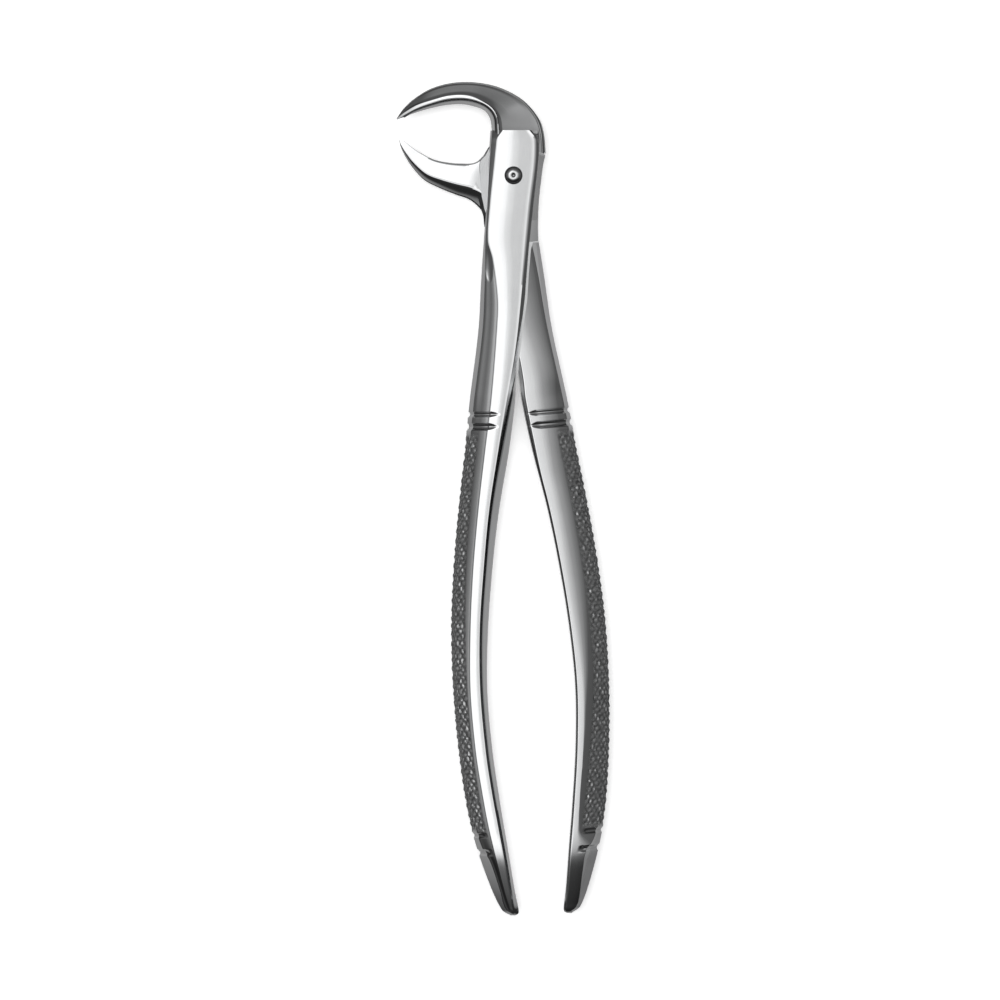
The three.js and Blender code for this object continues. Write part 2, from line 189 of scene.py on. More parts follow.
def surface(start, end, top, knots, count):
    """Points from start to end across a face, falling away by the tilts at its knots."""
    length = abs(end - start)
    inside = np.clip([k[0] for k in knots[1:-1]], 0, 0.999 * length)
    distance = np.sort(np.concatenate([np.linspace(0, length, count - len(inside)), inside]))
    tilt = np.radians(np.interp(distance, [k[0] for k in knots], [k[1] for k in knots]))
    rise = np.tan(tilt)
    fall = np.concatenate([[0], np.cumsum((rise[1:] + rise[:-1]) / 2 * np.diff(distance))])
    x = start + (end - start) * distance / length
    return x, top - (fall - min(fall.min(), 0))


def straight(a, b, count):
    return [(a[0] + (b[0] - a[0]) * t, a[1] + (b[1] - a[1]) * t)
            for t in np.linspace(0, 1, count, endpoint=False)]


def outer_wall(x, z, outer, end_tilt, count_round, count_wall):
    """The rounded shoulder and the drafted wall from a flank's end down to the middle."""
    sign = math.copysign(1, outer - x)
    radius = min(0.45, 0.3 * z)
    wall_tilt = math.atan2(z, max(abs(outer - x), 0.05))
    end_tilt = math.radians(end_tilt)
    points = []
    for t in np.linspace(0, 1, count_round, endpoint=False):
        tilt = end_tilt + (wall_tilt - end_tilt) * t
        points.append((x + sign * radius * (math.sin(tilt) - math.sin(end_tilt)),
                       z - radius * (math.cos(end_tilt) - math.cos(tilt))))
    points += straight(points[-1], (outer, 0.0), count_wall + 1)[1:]
    return points + [(outer, 0.0)]


def front_side(y, height):
    """The section's front: inner wall, bevel, flat, flank and outer wall."""
    inner, outer = inner_edge(y), outer_edge(y)
    flat_inner, flat_outer = flat_inner_edge(y), flat_outer_edge(y)
    bevel = min(inner_bevel(y), 0.85 * (inner - flat_inner))
    outer_top = min(outer + outer_draft(y), flat_outer - 0.12)
    rise = min(inner_bevel_slope(y) * bevel, 0.6 * height)
    foot = (flat_inner + bevel, height - rise)
    width = flat_inner - flat_outer
    lean = lean_share(y)
    flat_x, flat_z = surface(flat_inner, flat_outer, height, [
        (0, -5), (0.07 * width, -5), (0.14 * width, 0.3), ((lean - 0.22) * width, 0.8),
        (lean * width, 3.2), ((lean + 0.12) * width, 4.6), (0.94 * width, 4.6), (width, 9),
    ], 14)
    flank = flat_outer - outer_top
    tilts = FLANK_TILTS[0]
    for next_tilts, start, end in ((FLANK_TILTS[1], -13, -21), (FLANK_TILTS[2], -45, -57)):
        share = float(np.clip((y - start) / (end - start), 0, 1))
        tilts = [p + (q - p) * share for p, q in zip(tilts, next_tilts)]
    knots = [(share * flank, tilt) for share, tilt in zip(FLANK_SHARES, tilts)]
    flank_x, flank_z = surface(flat_outer, outer_top, flat_z[-1], knots, 21)
    flank_z = np.maximum(flank_z, 0.25 * height)
    points = straight((inner, 0.0), foot, 4)
    points += straight(foot, (flat_inner, flat_z[0]), 4)
    points += list(zip(flat_x, flat_z))[:-1]
    points += list(zip(flank_x, flank_z))[:-1]
    points += outer_wall(flank_x[-1], flank_z[-1], outer, knots[-1][1], 4, 24)
    return np.array(points)


def back_side(y, height):
    """The section's back: a tight inner round, the crest and a long outward roll."""
    inner, outer = inner_edge(y), outer_edge(y)
    outer_top = min(outer + back_draft(y), inner - 1.2)
    rounding = min(back_round(y), 0.35 * (inner - outer_top))
    crest = inner - rounding
    drop = min(0.78 * rounding, 0.5 * height)
    nine, fifteen, steep = back_tilt_9(y), back_tilt_15(y), back_tilt_27(y)
    width = crest - outer_top
    knots = [(0, 4), (0.25, 7), (nine, 9), (fifteen, 15), ((fifteen + steep) / 2, 20), (steep, 27),
             (max(width, steep + 0.2), 38)]
    x, z = surface(crest, outer_top, height, knots, 28)
    z = np.maximum(z, 0.25 * height)
    foot = (inner - 0.15 * rounding, height - drop)
    shoulder = (crest + 0.2 * rounding, height - 0.08 * drop)
    points = straight((inner, 0.0), foot, 4)
    points += straight(foot, shoulder, 4)
    points += straight(shoulder, (crest, height), 2)
    points += list(zip(x, z))[:-1]
    points += outer_wall(x[-1], z[-1], outer, 38, 4, 22)
    return np.array(points)


def arm_ring(y):
    """The arm's whole section at y: x, and z from the middle plane."""
    height = min(MIDDLE, handle_depth(y))
    front = front_side(y, height)
    back = back_side(y, height)
    back[:, 1] *= -1
    return np.vstack([front, back[1:-1][::-1]]), len(front) - 1


def groove_cut(x, y, z, outer):
    """Depth of the grooves above and below the grip at a place on the outer side."""
    cut = np.zeros_like(x)
    for groove, deepest, half in RIBS:
        point = np.where(z > 0, flat_outer_edge(y) + 1.9, inner_edge(y) - 0.7)
        reach = smooth(-0.3, 2.3, point - x)
        across = np.clip(abs(y - groove) / (half * (0.25 + 0.75 * reach)), 0, 1)
        cut = np.maximum(cut, deepest * reach * (1 - across**2) * (x < point))
    reach = smooth(0, 1.5, outer + np.where(z > 0, 3.1, 4.4) - x)
    for groove, deepest, half in BEAD_GROOVES:
        across = np.clip(abs(y - groove) / half, 0, 1)
        cut = np.maximum(cut, deepest * reach * (1 - across**2) ** 1.3)
    across = np.clip(abs(y - BEAD) / BEAD_HALF_LENGTH, 0, 1)
    return cut - BEAD_RISE * reach * (1 - across**2)


def knurl_cut(s, t):
    """Depth of the cross-cut knurling at s along and t round the handle."""
    s = s + 0.16 * np.sin(2.3 * t + 0.9 * s) + 0.08 * np.sin(5.1 * s)
    t = t + 0.1 * np.sin(1.7 * s + 2.9 * t)
    a = s / KNURL_LENGTH + t / KNURL_WIDTH
    b = s / KNURL_LENGTH - t / KNURL_WIDTH
    valley = np.maximum(np.abs((a % 1.0) - 0.5), np.abs((b % 1.0) - 0.5)) * 2
    depth = KNURL_DEPTH * (1 + 0.3 * np.sin(3.7 * s + 1.9 * t) * np.sin(1.3 * s - 4.3 * t))
    return depth * np.clip((valley - 0.2) / 0.8, 0, 1) ** 1.1


def scoop_cut(x, y):
    """Depth of the pointed oval thumb scoop in the front half's upper flank."""
    along = (y - SCOOP[1]) / SCOOP_LENGTH
    across = (x - SCOOP[0] + SCOOP_SLANT * along) / SCOOP_WIDTH
    end = np.where(along > 0, np.abs(along) ** 1.6, np.abs(along) ** 2.5)
    return SCOOP_DEPTH * (1 - 0.4 * along) * np.clip(1 - end - across**2, 0, 1) ** 0.8


def smooth(low, high, value):
    """0 at low, 1 at high, eased at both ends; low may be the larger."""
    t = np.clip((value - low) / (high - low), 0, 1)
    return t * t * (3 - 2 * t)


def arm_stations():
    """Where the arm's rings stand: closest at the knurling, the grooves and the end."""
    parts = [
        np.arange(PLATE_TOP, 6, -0.15), np.arange(6, -12, -0.6), np.arange(-12, -23, -0.2),
        np.arange(-23, -47.6, -0.6), np.arange(-47.6, -53, -0.13), np.arange(-53, -133.4, -0.19),
        np.arange(-133.4, -139.4, -0.13), np.arange(-139.4, -146, -0.35),
        np.arange(-146, -149.6, -0.25), np.arange(-149.6, HANDLE_END, -0.1), [HANDLE_END],
    ]
    return np.concatenate(parts)


def arm_skin(top):
    """Rings of the whole arm below top, with grooves and knurling, and each point's surface weights.

    These are how far it is knurled, how far it is on the outer wall, and its depth in
    the knurl's valleys, which sets painted shade there."""
    rings, weights = [], []
    for y in arm_stations():
        if y > top:
            continue
        ring, outer_index = arm_ring(y)
        x, z = ring[:, 0], ring[:, 1]
        step = np.roll(ring, -1, axis=0) - ring
        length = np.hypot(step[:, 0], step[:, 1])
        around = np.concatenate([[0], np.cumsum(length)[:-1]])
        around -= around[outer_index]
        tangent = np.roll(ring, -1, axis=0) - np.roll(ring, 1, axis=0)
        tangent /= np.maximum(np.hypot(tangent[:, 0], tangent[:, 1]), 1e-9)[:, None]
        inward = np.stack([tangent[:, 1], -tangent[:, 0]], axis=1)
        centre = ring.mean(axis=0)
        flip = np.sign(((centre - ring) * inward).sum(axis=1))
        inward *= np.where(flip == 0, 1, flip)[:, None]
        outer = outer_edge(y)
        face = np.where(z > 0, 2.55 + 0.45 * smooth(-70, -100, y), 3.3 + 1.3 * smooth(-100, -130, y))
        weight = 1 - smooth(face - 0.5, face, x - outer)
        weight *= smooth(GRIP_END, GRIP_END + 1.2, y) * (1 - smooth(GRIP_TOP - 1.4, GRIP_TOP, y))
        wall = 1 - smooth(0.9 * outer_draft(y), outer_draft(y) + 0.15, x - outer)
        cut = weight * knurl_cut(-y, around) * (1 + 0.4 * wall)
        groove = groove_cut(x, y, z, outer)
        cut = np.where(groove < 0, groove, np.maximum(cut, groove))
        cut = np.maximum(cut, np.where(z > 0, scoop_cut(x, y), 0))
        ring = ring + inward * cut[:, None]
        rings.append(np.column_stack([ring[:, 0], np.full(len(ring), y), ring[:, 1] + MIDDLE]))
        # The valley depth is what the shader darkens the colour by: painted shade in the recesses.
        valley = np.clip(cut / KNURL_DEPTH, 0, 1) * weight
        weights.append(np.column_stack([weight, wall, valley]))
    return np.array(rings), np.array(weights)


def fold_over(points):
    """Turns points half round about the fold line, which makes the back half's arm."""
    axis = Vector((-math.sin(FOLD_LEAN), math.cos(FOLD_LEAN), 0))
    turn = np.array(Matrix.Rotation(math.pi, 3, axis))
    origin = np.array([FOLD_X, 0, MIDDLE])
    return (points - origin) @ turn.T + origin


def mesh_object(name, vertices, faces, finish_and_shade=None):
    mesh = bpy.data.meshes.new(name)
    mesh.from_pydata([tuple(v) for v in np.asarray(vertices) * MM], [], faces)
    # The valley column sets painted shade in the knurl's recesses; knurl sets the grip's metal,
    # roughness and tone, satin the outer wall's roughness.
    for column, attribute in enumerate(("knurl", "satin", "valley")):
        values = np.zeros(len(mesh.vertices)) if finish_and_shade is None else finish_and_shade[:, column]
        layer = mesh.attributes.new(attribute, "FLOAT", "POINT")
        layer.data.foreach_set("value", values.astype(np.float32))
    mesh.update()
    bm = bmesh.new()
    bm.from_mesh(mesh)
    bmesh.ops.remove_doubles(bm, verts=bm.verts, dist=1e-8)
    bmesh.ops.recalc_face_normals(bm, faces=bm.faces)
    bm.to_mesh(mesh)
    bm.free()
    obj = bpy.data.objects.new(name, mesh)
    bpy.context.scene.collection.objects.link(obj)
    return obj


def loft(name, rings, weights=None):
    """A closed skin over rings of equally many points, with a fan at each end."""
    count, around = rings.shape[0], rings.shape[1]
    vertices = rings.reshape(-1, 3)
    faces = []
    for r in range(count - 1):
        base = r * around
        for i in range(around):
            j = (i + 1) % around
            faces.append((base + i, base + j, base + around + j, base + around + i))
    hubs = [rings[0].mean(axis=0), rings[-1].mean(axis=0)]
    vertices = np.vstack([vertices, hubs])
    last = (count - 1) * around
    for i in range(around):
        j = (i + 1) % around
        faces.append((count * around, j, i))
        faces.append((count * around + 1, last + i, last + j))
    finish_and_shade = None
    if weights is not None:
        columns = weights.shape[-1]
        finish_and_shade = np.vstack([weights.reshape(-1, columns), np.zeros((2, columns))])
    return mesh_object(name, vertices, faces, finish_and_shade)


# --- Beaks ----------------------------------------------------------------------------

def curve_through(points, count):
    """Evenly parametrised points on a Catmull-Rom curve."""
    p = np.array(points, float)
    p = np.vstack([2 * p[0] - p[1], p, 2 * p[-1] - p[-2]])
    out = []
    for s in np.linspace(0, len(points) - 1, count):
        i = min(int(s), len(points) - 2)
        t = s - i
        a, b, c, d = p[i], p[i + 1], p[i + 2], p[i + 3]
        out.append(0.5 * (2 * b + (c - a) * t + (2 * a - 5 * b + 4 * c - d) * t**2
                          + (3 * b - a - 3 * c + d) * t**3))
    return np.array(out)


UPPER_INNER = [
    (-4.49, 7.2), (-4.45, 9.4), (-4.8, 11.7), (-5.9, 13.3), (-8.1, 14.2), (-10.7, 14.65),
    (-13.8, 14.45), (-17.0, 13.8), (-19.9, 12.95), (-21.9, 12.2), (-23.75, 11.5),
]
UPPER_OUTER = [
    (6.62, 4.5), (6.2, 8.8), (5.0, 12.0), (1.9, 15.5), (-2.55, 17.95), (-7.25, 19.05),
    (-12.1, 19.05), (-16.4, 18.0), (-19.8, 16.1), (-22.3, 13.9), (-23.9, 11.7),
]
# Height, inner band's share, crest's share, then the tilts out from the crest.
UPPER_FORM = [
    (4.4, 0.10, 0.13, 52, 20, 19, 18, 16), (4.35, 0.10, 0.13, 52, 20, 19, 18, 16),
    (4.2, 0.12, 0.15, 52, 20, 19, 18, 17), (4.0, 0.14, 0.19, 46, 22, 17, 17, 22),
    (3.6, 0.20, 0.27, 20, 27, 18, 17, 28), (3.1, 0.23, 0.37, 9, 30, 17, 17, 36),
    (2.6, 0.24, 0.39, 9, 32, 17, 18, 42), (2.1, 0.22, 0.36, 9, 34, 18, 19, 45),
    (1.5, 0.24, 0.43, 9, 42, 24, 24, 50), (0.85, 0.22, 0.48, 9, 45, 30, 30, 50),
    (0.2, 0.2, 0.6, 5, 30, 30, 30, 50),
]
BEAK_BEVEL = 0.45
UPPER_TILT_SHARES = (0, 0.1, 0.36, 0.85, 1)
LOWER_INNER = [
    (-4.9, 6.1), (-6.3, 4.0), (-8.1, 2.75), (-10.5, 2.6), (-13.4, 2.8), (-16.2, 3.4),
    (-18.7, 4.6), (-20.6, 5.8), (-22.2, 7.05), (-23.2, 7.6),
]
LOWER_OUTER = [
    (-5.0, -9.0), (-6.9, -6.5), (-9.0, -4.75), (-11.9, -3.7), (-15.0, -2.45), (-18.2, -0.8),
    (-20.7, 1.85), (-22.15, 4.1), (-23.0, 5.9), (-23.4, 7.4),
]
# Front height, back height, crest's share and the outer band's two tilts.
LOWER_FORM = [
    (-0.1, 4.6, 0.72, 44, 56), (-0.08, 4.6, 0.70, 44, 56), (0.0, 4.5, 0.68, 44, 56),
    (0.15, 4.0, 0.68, 44, 56), (0.25, 3.4, 0.69, 44, 58), (0.3, 2.8, 0.72, 45, 60),
    (0.3, 2.3, 0.745, 45, 60), (0.3, 1.7, 0.76, 45, 60), (0.25, 1.0, 0.78, 45, 58),
    (0.15, 0.25, 0.8, 40, 50),
]
# The lower beak's front leans towards the mouth.
LOWER_LEAN = math.radians(5)
INNER_WALL_SHARE = 0.05
OUTER_WALL_SHARE = 0.08


def quarter(start, end, count):
    """A quarter round from start, leaving upright, to end, arriving level."""
    return [(start[0] + (end[0] - start[0]) * (1 - math.cos(a)),
             start[1] + (end[1] - start[1]) * math.sin(a))
            for a in np.linspace(0, math.pi / 2, count, endpoint=False)]


def upper_section(width, form):
    height, band, crest, *tilts = form
    edge = band - BEAK_BEVEL / width
    wall_top = 0.97 * height - 1.1 * BEAK_BEVEL
    if wall_top < 0.2 * height:
        edge, wall_top = 0.5 * band, 0.6 * height
    points = straight((0, 0), (0.8 * edge, 0.9 * wall_top), 5)
    points += straight((0.8 * edge, 0.9 * wall_top), (edge, wall_top), 2)
    points += straight((edge, wall_top), (band, 0.97 * height), 3)
    lip = min(band + 0.3 / width, crest)
    points += straight((band, 0.97 * height), (lip, height), 2)
    points += straight((lip, height), (crest, height), 5)
    span = (1 - OUTER_WALL_SHARE - crest) * width
    knots = [(share * span, tilt) for share, tilt in zip(UPPER_TILT_SHARES, tilts)]
    x, z = surface(crest * width, crest * width + span, height, knots, 25)
    z = height - (height - z) * min(1, 0.85 * height / (height - z[-1]))
    points += list(zip(x / width, z))[:-1]
    points += [(1 - math.cos(a) * OUTER_WALL_SHARE, z[-1] * (1 - math.sin(a) ** 1.5))
               for a in np.linspace(0, math.pi / 2, 7)]
    points = np.array(points)
    return np.vstack([points, points[1:-1][::-1] * (1, -1)])


def lower_section(width, form):
    front, back, crest, start, end = form
    foot = (front - back) / 2
    lean = min(math.tan(LOWER_LEAN) * (crest - INNER_WALL_SHARE) * width, 0.3 * (front + back))
    lean *= min(max((front + 0.1) / 0.2, 0), 1)
    points = quarter((0, foot), (INNER_WALL_SHARE, front - lean), 6)
    points += straight((INNER_WALL_SHARE, front - lean), (crest, front), 12)
    span = (1 - 0.4 * OUTER_WALL_SHARE - crest) * width
    x, z = surface(crest * width, crest * width + span, front, [(0, 6), (0.1 * span, start),
                                                              (span, end)], 16)
    edge = max(z[-1], 0.3 * front - 0.7 * back)
    z = np.maximum(z, edge)
    points += list(zip(x / width, z))
    points += [(1.0, edge - 0.06 * back), (1.0, edge - 0.12 * back)]
    points += straight((0.96, 0.25 * edge - 0.75 * back), (0.8, -0.97 * back), 3)
    points += straight((0.72, -back), (INNER_WALL_SHARE, -back), 8)
    points += [(0.3 * INNER_WALL_SHARE, -0.9 * back), (0.0, -0.75 * back)]
    return np.array(points)


def beak_rings(inner, outer, form, section, count):
    inside, outside = curve_through(inner, count), curve_through(outer, count)
    shape = curve_through(form, count)
    rings = []
    for a, b, row in zip(inside, outside, shape):
        points = section(float(np.hypot(*(b - a))), row)
        xy = a + (b - a) * points[:, :1]
        rings.append(np.column_stack([xy, points[:, 1] + MIDDLE]))
    return np.array(rings)


# --- Joint ----------------------------------------------------------------------------

DISC_LEFT_END = 5.9
DISC_RIGHT_END = 4.3
plate_left = through([
    (DISC_LEFT_END, -5.1), (4.1, -6.2), (2.9, -7.3), (0, -7.5), (-4, -7.3), (-5.5, -6.95),
    (-6.6, -6.7), (-8, -6.2), (-10.3, -5.9), (-13.4, -4.6), (-17, -3.2),
])
plate_right = through([
    (DISC_RIGHT_END, 6.5), (2.5, 6.1), (0, 5.75), (-5, 5.2), (-10, 5.0), (-14, 5.05), (-17, 4.6),
])
neck_bevel = through([(6, 0.3), (2, 0.6), (-3, 0.85), (-8, 0.7), (-10.5, 0.45), (-17, 0.3)])

# The line where a half's arm grows to full thickness beside the other half's plate. The
# front half's line is given folded over.
SHOULDER = [(9, -13.2), (5.4, -13.6), (4.1, -15.0), (3.3, -20), (2.85, -25.3), (1.95, -31.4),
            (1.12, -37.5), (0.9, -42)]
# The back half's own line lies close along the front plate's edge.
BACK_SHOULDER = [(9, -13.2), (3.95, -13.6), (3.55, -15.0), (3.12, -20), (2.8, -25.3),
                 (1.95, -31.4), (1.12, -37.5), (0.9, -42)]


def back_plate():
    """The back half's round plate at the joint and its neck down to the arm."""
    disc = BACK_DISC_RADIUS - (BACK_DISC_RADIUS - DISC_RIGHT_END) * (
        1 - np.cos(np.linspace(0.05, math.pi / 2, 24)))
    rings = []
    for y in np.concatenate([disc, np.arange(DISC_RIGHT_END - 0.25, PLATE_END, -0.25)]):
        reach = math.sqrt(max(BACK_DISC_RADIUS**2 - y**2, 0.01))
        left = -reach if y > DISC_LEFT_END else plate_left(y)
        right = reach if y > DISC_RIGHT_END else plate_right(y)
        bevel = min(0.6, (right - left) / 4)
        lean = min(max(right - inner_edge(y) + 0.15, 1.1), (right - left) / 4)
        edge = min(neck_bevel(y), (right - left) / 4)
        section = [
            (right - lean, MIDDLE + 1), (right - lean, MIDDLE - 0.1), (right, 1.6),
            (right - 0.1, 0.9), (right - bevel, 0.0), (left + bevel, 0.0), (left, 0.8),
            (left, MIDDLE - 1.25 * edge),
            (left + edge, MIDDLE - 0.04), (left + edge, MIDDLE + 1),
        ]
        rings.append([(x, y, z) for x, z in section])
    return loft("back_plate", np.array(rings))


def fold_point(x, y):
    folded = fold_over(np.array([[x, y, MIDDLE]]))[0]
    return folded[0], folded[1]


def prism(name, outline, bottom, top):
    count = len(outline)
    vertices = [(x, y, bottom) for x, y in outline] + [(x, y, top) for x, y in outline]
    faces = [tuple(range(count))[::-1], tuple(range(count, 2 * count))]
    for i in range(count):
        j = (i + 1) % count
        faces.append((i, j, count + j, count + i))
    return mesh_object(name, np.array(vertices, float), faces)


def front_lap_cut():
    start, end = 0.45, math.pi - 0.45
    outline = [(ROOT_CLEAR_RADIUS * math.cos(a), ROOT_CLEAR_RADIUS * math.sin(a))
               for a in np.linspace(start, end, 48)]
    folded = [fold_point(x, y) for x, y in SHOULDER]
    outline += [(-16, 6), (-16, folded[0][1])] + folded + [(3, -43), (16, -20), (16, 3)]
    return prism("front_cut", outline, -1, MIDDLE + LAP_GAP / 2)


def back_lap_cut():
    outline = [(-5.6, 12), (-5.6, 3.2), (-10.2, -6.6), (-10.2, -16), (-3, -43)]
    outline += BACK_SHOULDER[::-1] + [(12, -13), (12, 12)]
    return prism("back_cut", outline, MIDDLE - LAP_GAP / 2, THICKNESS + 1)


def bore():
    outline = [(BORE_RADIUS * math.cos(a), BORE_RADIUS * math.sin(a))
               for a in np.linspace(0, 2 * math.pi, 96, endpoint=False)]
    return prism("bore", outline, -1, THICKNESS + 1)


def combine(base, tool, operation):
    modifier = base.modifiers.new(operation, "BOOLEAN")
    modifier.operation = operation
    modifier.solver = "MANIFOLD"
    modifier.object = tool
    graph = bpy.context.evaluated_depsgraph_get()
    made = bpy.data.meshes.new_from_object(base.evaluated_get(graph))
    base.modifiers.clear()
    made.materials.clear()
    old = base.data
    base.data = made
    bpy.data.meshes.remove(old)
    bpy.data.objects.remove(tool)
    return base


def soften(obj, angle):
    """Smooth shading, with edges sharper than the angle kept crisp."""
    bm = bmesh.new()
    bm.from_mesh(obj.data)
    for face in bm.faces:
        face.smooth = True
        face.material_index = 0
    for edge in bm.edges:
        edge.smooth = not (len(edge.link_faces) == 2 and edge.calc_face_angle(0) > angle)
    bm.to_mesh(obj.data)
    bm.free()


def front_half():
    rings, weights = arm_skin(PLATE_TOP)
    whole = loft("front_half_steel", rings, weights)
    rings = beak_rings(UPPER_INNER, UPPER_OUTER, UPPER_FORM, upper_section, 120)
    combine(whole, loft("upper_beak", rings), "UNION")
    combine(whole, front_lap_cut(), "DIFFERENCE")
    return combine(whole, bore(), "DIFFERENCE")


def back_half():
    rings, weights = arm_skin(ARM_TOP)
    folded = fold_over(rings.reshape(-1, 3)).reshape(rings.shape)
    whole = loft("back_half_steel", folded, weights)
    combine(whole, back_plate(), "UNION")
    rings = beak_rings(LOWER_INNER, LOWER_OUTER, LOWER_FORM, lower_section, 110)
    combine(whole, loft("lower_beak", rings), "UNION")
    combine(whole, back_lap_cut(), "DIFFERENCE")
    return combine(whole, bore(), "DIFFERENCE")


def joint_pin():
    """The rivet: a flush end, the shank and a domed head with a dimple."""
    rim = THICKNESS + 0.02
    profile = [(0, 0), (1.45, 0), (PIN_RADIUS, 0.12), (PIN_RADIUS, rim), (PIN_HEAD_RADIUS, rim)]
    profile += [(1.83, rim + 0.16), (1.74, rim + 0.3), (1.6, rim + 0.46), (1.42, rim + 0.62)]
    profile += [(1.22, rim + 0.75), (1.0, rim + 0.84), (0.8, rim + 0.89), (0.6, rim + 0.9)]
    profile += [(0.45, rim + 0.87), (0.3, rim + 0.78), (0.15, rim + 0.67), (0, rim + 0.64)]
    around = 96
    rings = []
    for radius, z in profile:
        r = max(radius, 0.001)
        rings.append([(r * math.cos(a), r * math.sin(a), z)
                      for a in np.linspace(0, 2 * math.pi, around, endpoint=False)])
    return loft("joint_pin_steel", np.array(rings))


# --- Materials ------------------------------------------------------------------------

# Against plain steel the grip is less metallic, darker and rougher; its valleys are darker still,
# painted shade for the knurl's recesses.
GRIP_METALLIC = 0.84
GRIP_SHADE = 0.85
VALLEY_SHADE = 0.35
GRIP_ROUGHNESS = 0.17
WALL_ROUGHNESS = 0.2
POLISHED_COLOUR = (0.60, 0.605, 0.61)
PIN_COLOUR = (0.55, 0.555, 0.56)


def steel(name, base, roughness, scratch):
    """Steel with fine polishing lines, faint clouding, the grip's matt, rougher knurled surface and
    painted shade in its knurl's valleys.
    """
    material = bpy.data.materials.new(name)
    material.use_nodes = True
    nodes, links = material.node_tree.nodes, material.node_tree.links
    shader = nodes["Principled BSDF"]
    place = nodes.new("ShaderNodeTexCoord")

    stretch = nodes.new("ShaderNodeMapping")
    stretch.inputs["Scale"].default_value = (9000, 500, 9000)
    links.new(place.outputs["Object"], stretch.inputs["Vector"])
    lines = nodes.new("ShaderNodeTexNoise")
    lines.inputs["Scale"].default_value = 1.0
    lines.inputs["Detail"].default_value = 3.0
    links.new(stretch.outputs["Vector"], lines.inputs["Vector"])

    cloud = nodes.new("ShaderNodeTexNoise")
    cloud.inputs["Scale"].default_value = 220.0
    cloud.inputs["Detail"].default_value = 4.0
    links.new(place.outputs["Object"], cloud.inputs["Vector"])

    knurl = nodes.new("ShaderNodeAttribute")
    knurl.attribute_name = "knurl"
    satin = nodes.new("ShaderNodeAttribute")
    satin.attribute_name = "satin"
    valley = nodes.new("ShaderNodeAttribute")
    valley.attribute_name = "valley"

    matt = nodes.new("ShaderNodeMapRange")
    matt.inputs["To Min"].default_value = 1.0
    matt.inputs["To Max"].default_value = GRIP_METALLIC
    links.new(knurl.outputs["Fac"], matt.inputs["Value"])
    links.new(matt.outputs["Result"], shader.inputs["Metallic"])

    tint = nodes.new("ShaderNodeMapRange")
    tint.inputs["To Min"].default_value = 0.94
    tint.inputs["To Max"].default_value = 1.04
    links.new(cloud.outputs["Fac"], tint.inputs["Value"])
    grip = nodes.new("ShaderNodeMapRange")
    grip.inputs["To Min"].default_value = 1.0
    grip.inputs["To Max"].default_value = GRIP_SHADE
    links.new(knurl.outputs["Fac"], grip.inputs["Value"])
    shade = nodes.new("ShaderNodeMath")
    shade.operation = "MULTIPLY"
    links.new(tint.outputs["Result"], shade.inputs[0])
    links.new(grip.outputs["Result"], shade.inputs[1])
    # The knurl's valleys darken the base colour: painted shade for their recesses.
    depth = nodes.new("ShaderNodeMapRange")
    depth.inputs["To Min"].default_value = 1.0
    depth.inputs["To Max"].default_value = VALLEY_SHADE
    links.new(valley.outputs["Fac"], depth.inputs["Value"])
    tone_with_valley_shade = nodes.new("ShaderNodeMath")
    tone_with_valley_shade.operation = "MULTIPLY"
    links.new(shade.outputs["Value"], tone_with_valley_shade.inputs[0])
    links.new(depth.outputs["Result"], tone_with_valley_shade.inputs[1])
    colour = nodes.new("ShaderNodeVectorMath")
    colour.operation = "SCALE"
    colour.inputs[0].default_value = base
    links.new(tone_with_valley_shade.outputs["Value"], colour.inputs["Scale"])
    links.new(colour.outputs["Vector"], shader.inputs["Base Color"])

    polish = nodes.new("ShaderNodeMapRange")
    polish.inputs["To Min"].default_value = roughness * 0.75
    polish.inputs["To Max"].default_value = roughness * 1.3
    links.new(lines.outputs["Fac"], polish.inputs["Value"])
    total = polish.outputs["Result"]
    for source, amount in ((knurl, GRIP_ROUGHNESS), (satin, WALL_ROUGHNESS)):
        rough = nodes.new("ShaderNodeMath")
        rough.operation = "MULTIPLY_ADD"
        rough.inputs[1].default_value = amount
        links.new(source.outputs["Fac"], rough.inputs[0])
        links.new(total, rough.inputs[2])
        total = rough.outputs["Value"]
    links.new(total, shader.inputs["Roughness"])

    bump = nodes.new("ShaderNodeBump")
    bump.inputs["Strength"].default_value = scratch
    bump.inputs["Distance"].default_value = 0.00002
    links.new(lines.outputs["Fac"], bump.inputs["Height"])
    links.new(bump.outputs["Normal"], shader.inputs["Normal"])
    return material


def floor_material():
    material = bpy.data.materials.new("pale_floor")
    material.use_nodes = True
    nodes, links = material.node_tree.nodes, material.node_tree.links
    shader = nodes["Principled BSDF"]
    shader.inputs["Roughness"].default_value = 0.9
    shader.inputs["Specular IOR Level"].default_value = 0.0
    shader.inputs["Emission Color"].default_value = (1, 1, 1, 1)
    shader.inputs["Emission Strength"].default_value = 0.35
    grain = nodes.new("ShaderNodeTexNoise")
    grain.inputs["Scale"].default_value = 60.0
    level = nodes.new("ShaderNodeMapRange")
    level.inputs["To Min"].default_value = 0.9
    level.inputs["To Max"].default_value = 0.92
    links.new(grain.outputs["Fac"], level.inputs["Value"])
    links.new(level.outputs["Result"], shader.inputs["Base Color"])
    return material


# --- Build ----------------------------------------------------------------------------

polished = steel("polished_steel", POLISHED_COLOUR, 0.11, 0.12)
pin_steel = steel("pin_steel", PIN_COLOUR, 0.14, 0.15)

front = front_half()
soften(front, math.radians(32))
front.data.materials.append(polished)
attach(front, "front_half")
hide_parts("front_half")

back = back_half()
soften(back, math.radians(32))
back.data.materials.append(polished)
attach(back, "back_half")
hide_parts("back_half")

pin = joint_pin()
soften(pin, math.radians(40))
pin.data.materials.append(pin_steel)
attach(pin, "back_half")
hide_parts("joint_pin")


# --- Floor, light and camera ----------------------------------------------------------

low, high = (Vector(corner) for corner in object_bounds())
centre = (low + high) / 2

